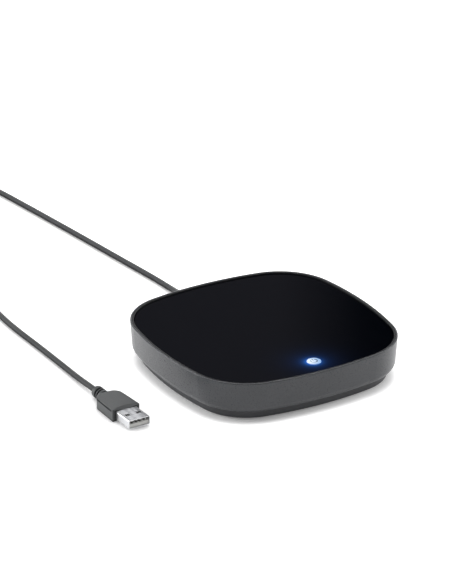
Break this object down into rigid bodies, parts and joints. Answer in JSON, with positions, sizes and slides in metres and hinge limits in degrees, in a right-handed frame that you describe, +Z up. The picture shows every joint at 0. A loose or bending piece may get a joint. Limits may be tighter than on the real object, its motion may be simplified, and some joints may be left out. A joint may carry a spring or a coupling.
{
  "type": "mug warmer",
  "caption": "Square electric mug warmer with rounded corners: grey band, black glass heating panel, lit push button near one edge, and a thin lead ending in a USB plug.",
  "frame": {"origin": "on the standing surface, under the middle of the housing", "axes": "+Z up, -Y towards the user on the side with the button, +Y to the rear, where the cord leaves"},
  "size_m": [0.1651, 0.3541, 0.0218],
  "materials": {
    "shell_grey": "satin, fine texture",
    "frame_black": "satin",
    "panel_black": "polished black glass",
    "base_black": "moulded, fine texture",
    "foot_rubber": "matte",
    "steel": "zinc plated",
    "aluminium": "rolled",
    "foil": "etched resistance foil",
    "film_amber": "polyimide film",
    "felt": "pressed fibre",
    "bond": "silicone",
    "board_green": "solder mask",
    "component_black": "moulded",
    "component_white": "moulded",
    "button_milky": "translucent, lit from behind",
    "cord_black": "PVC sheath",
    "plug_grey": "moulded PVC",
    "plug_steel": "nickel plated",
    "contact_nickel": "nickel flash",
    "wire_red": "PVC insulation",
    "tie_black": "woven hook-and-loop strap"
  },
  "bodies": {
    "housing": {"side_shell": "shell_grey", "top_frame": "frame_black", "base_cover": "base_black", "rubber_feet": "foot_rubber", "base_screws": "steel", "heating_plate": "panel_black", "plate_adhesive": "bond", "heat_spreader": "aluminium", "heater_film": "film_amber", "heater_track": "foil", "insulation_pad": "felt", "heater_clamp": "steel", "heater_clamp_screws": "steel", "thermistor": "component_black", "thermal_fuse": "component_white", "circuit_board": "board_green", "board_screws": "steel", "control_chip": "component_black", "power_transistor": "component_black", "capacitors": "aluminium", "resistors": "component_black", "lead_socket": "component_white", "lead_plug": "component_white", "switch_body": "component_black", "light_shroud": "component_white", "status_leds": "component_white", "heater_leads": "wire_red", "sensor_leads": "wire_red", "cord_leads": "cord_black", "cord_clamp": "component_black", "cord_clamp_screws": "steel", "strain_relief": "cord_black", "power_cord_lead": "cord_black", "power_cord_tail": "cord_black", "power_cord_coil": "cord_black", "cord_tie": "tie_black", "usb_plug_body": "plug_grey", "usb_plug_shell": "plug_steel", "usb_plug_tongue": "component_white", "usb_plug_contacts": "contact_nickel"},
    "button": {"button_cap": "button_milky", "switch_plunger": "component_white"}
  },
  "joints": [
    {"name": "button_press", "type": "slide", "parent": "housing", "child": "button", "axis": [0, 0, -1], "range_m": [0, 0.0005], "stiffness_N_per_m": 2000}
  ]
}
